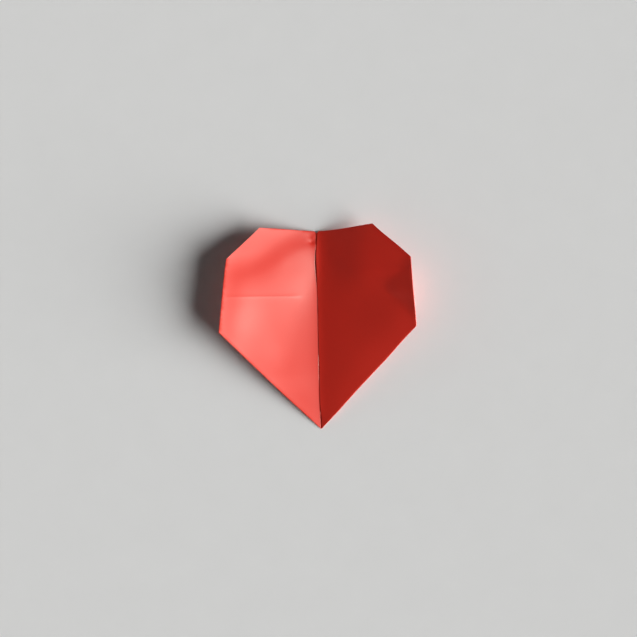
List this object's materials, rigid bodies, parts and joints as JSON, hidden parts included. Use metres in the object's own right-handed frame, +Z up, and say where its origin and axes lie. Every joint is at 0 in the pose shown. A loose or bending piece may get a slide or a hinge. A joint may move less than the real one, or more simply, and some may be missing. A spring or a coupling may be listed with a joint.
{
  "type": "origami heart",
  "caption": "Heart folded from a square sheet of thin red paper, lying on its back with both wings raised from the centre crease, for decoration.",
  "frame": {"origin": "middle of the bottom of the heart's box, on the ground that it lies on", "axes": "+Z up, out of the heart's front; +Y from the heart's tip to its notch; +X to the right wing"},
  "size_m": [0.0898, 0.0932, 0.0144],
  "materials": {
    "paper": "smooth thin origami paper with a faint sheen"
  },
  "bodies": {
    "root": {"folded_sheet": "paper"}
  },
  "joints": []
}
